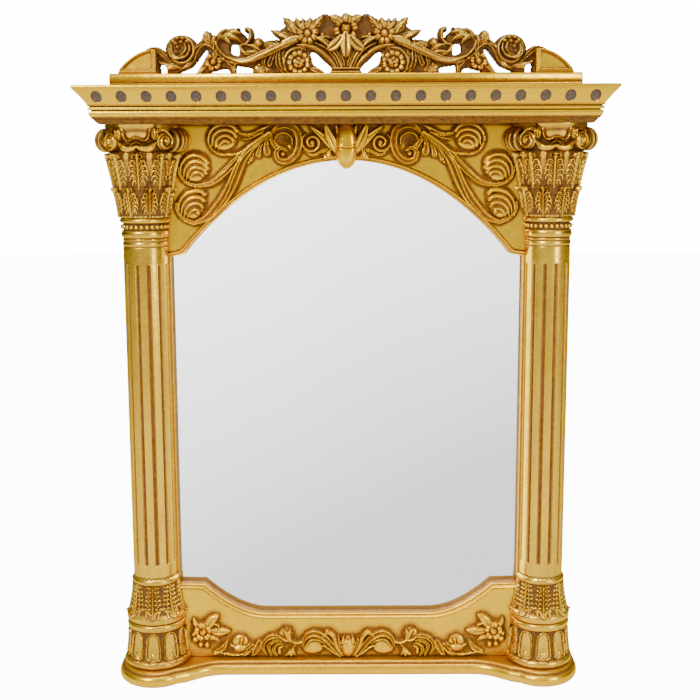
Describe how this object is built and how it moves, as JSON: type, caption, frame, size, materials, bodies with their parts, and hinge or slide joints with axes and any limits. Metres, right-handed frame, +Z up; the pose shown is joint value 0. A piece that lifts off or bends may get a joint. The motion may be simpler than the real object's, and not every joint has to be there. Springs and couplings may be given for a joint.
{
  "type": "wall mirror",
  "caption": "Upright wall mirror in a gilded architectural frame: fluted half columns, dimpled cornice, pierced floral crest and an ogee-arched glass.",
  "frame": {"origin": "point on the flat back of the top rail, on the mirror's middle line, that lies against the wall", "axes": "+Z up, front of the mirror towards -Y, +Y out of the back into the wall, +X to the right seen from the front"},
  "size_m": [0.822, 0.135, 1.0799],
  "materials": {
    "gilt": "gilded with a warm yellow gold, dark brown patina in the recesses",
    "antiqued_gilt": "gilded and heavily antiqued with brown",
    "silvered_glass": "clear silvered glass",
    "hardboard": "bare brown hardboard",
    "plated_steel": "zinc plated"
  },
  "bodies": {
    "root": {"frame_panel": "gilt", "column_left": "gilt", "column_right": "gilt", "cornice": "gilt", "base_shelf": "gilt", "crest": "antiqued_gilt", "mirror_glass": "silvered_glass", "back_board": "hardboard", "keyhole_plate_left": "plated_steel", "keyhole_plate_right": "plated_steel"}
  },
  "joints": []
}
